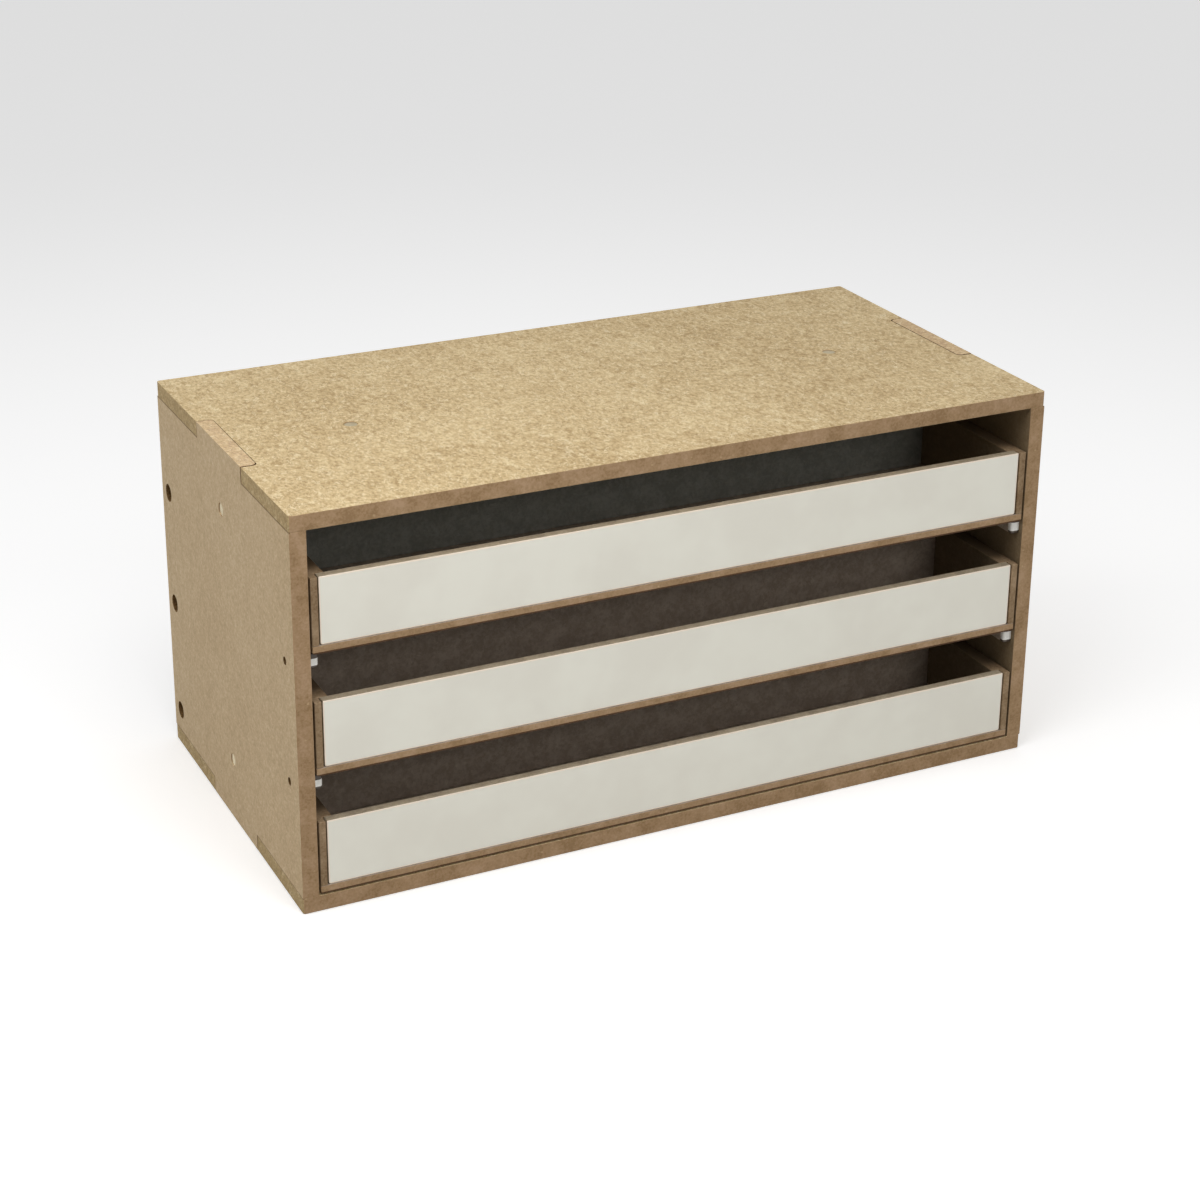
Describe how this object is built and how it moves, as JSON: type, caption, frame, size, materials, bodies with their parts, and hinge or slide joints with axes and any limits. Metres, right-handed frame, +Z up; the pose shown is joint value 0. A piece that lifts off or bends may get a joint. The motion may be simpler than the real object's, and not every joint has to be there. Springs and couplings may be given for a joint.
{
  "type": "drawer module",
  "caption": "Free-standing fibreboard drawer module with shallow open-topped drawers behind white handle-free fronts, for tools and small parts on a bench.",
  "frame": {"origin": "middle of the underside, on the surface that the module stands on", "axes": "+X to the right seen from the front, +Y to the back, +Z up; the drawers open towards -Y"},
  "size_m": [0.3, 0.15, 0.15],
  "materials": {
    "mdf_board": "raw, sanded",
    "hard_board": "raw, smooth",
    "white_faced_board": "satin white face",
    "rail_plastic": "moulded",
    "magnet_nickel": "nickel plated"
  },
  "bodies": {
    "carcass": {"bottom_panel": "mdf_board", "top_panel": "mdf_board", "left_side_panel": "mdf_board", "right_side_panel": "mdf_board", "back_panel": "hard_board", "rear_stop": "mdf_board", "bottom_magnets": "magnet_nickel", "top_magnets": "magnet_nickel", "left_magnets": "magnet_nickel", "right_magnets": "magnet_nickel", "middle_left_rail": "hard_board", "middle_left_rail_cap": "rail_plastic", "middle_right_rail": "hard_board", "middle_right_rail_cap": "rail_plastic", "top_left_rail": "hard_board", "top_left_rail_cap": "rail_plastic", "top_right_rail": "hard_board", "top_right_rail_cap": "rail_plastic"},
    "bottom_drawer": {"bottom_drawer_floor": "hard_board", "bottom_drawer_left_side": "mdf_board", "bottom_drawer_right_side": "mdf_board", "bottom_drawer_back": "mdf_board", "bottom_drawer_front_plate": "white_faced_board", "bottom_drawer_divider": "hard_board"},
    "middle_drawer": {"middle_drawer_floor": "hard_board", "middle_drawer_left_side": "mdf_board", "middle_drawer_right_side": "mdf_board", "middle_drawer_back": "mdf_board", "middle_drawer_front_plate": "white_faced_board", "middle_drawer_divider": "hard_board"},
    "top_drawer": {"top_drawer_floor": "hard_board", "top_drawer_left_side": "mdf_board", "top_drawer_right_side": "mdf_board", "top_drawer_back": "mdf_board", "top_drawer_front_plate": "white_faced_board", "top_drawer_divider": "hard_board"}
  },
  "joints": [
    {"name": "bottom_drawer_slide", "type": "slide", "parent": "carcass", "child": "bottom_drawer", "axis": [0, -1, 0], "range_m": [0, 0.12]},
    {"name": "middle_drawer_slide", "type": "slide", "parent": "carcass", "child": "middle_drawer", "axis": [0, -1, 0], "range_m": [0, 0.12]},
    {"name": "top_drawer_slide", "type": "slide", "parent": "carcass", "child": "top_drawer", "axis": [0, -1, 0], "range_m": [0, 0.12]}
  ]
}
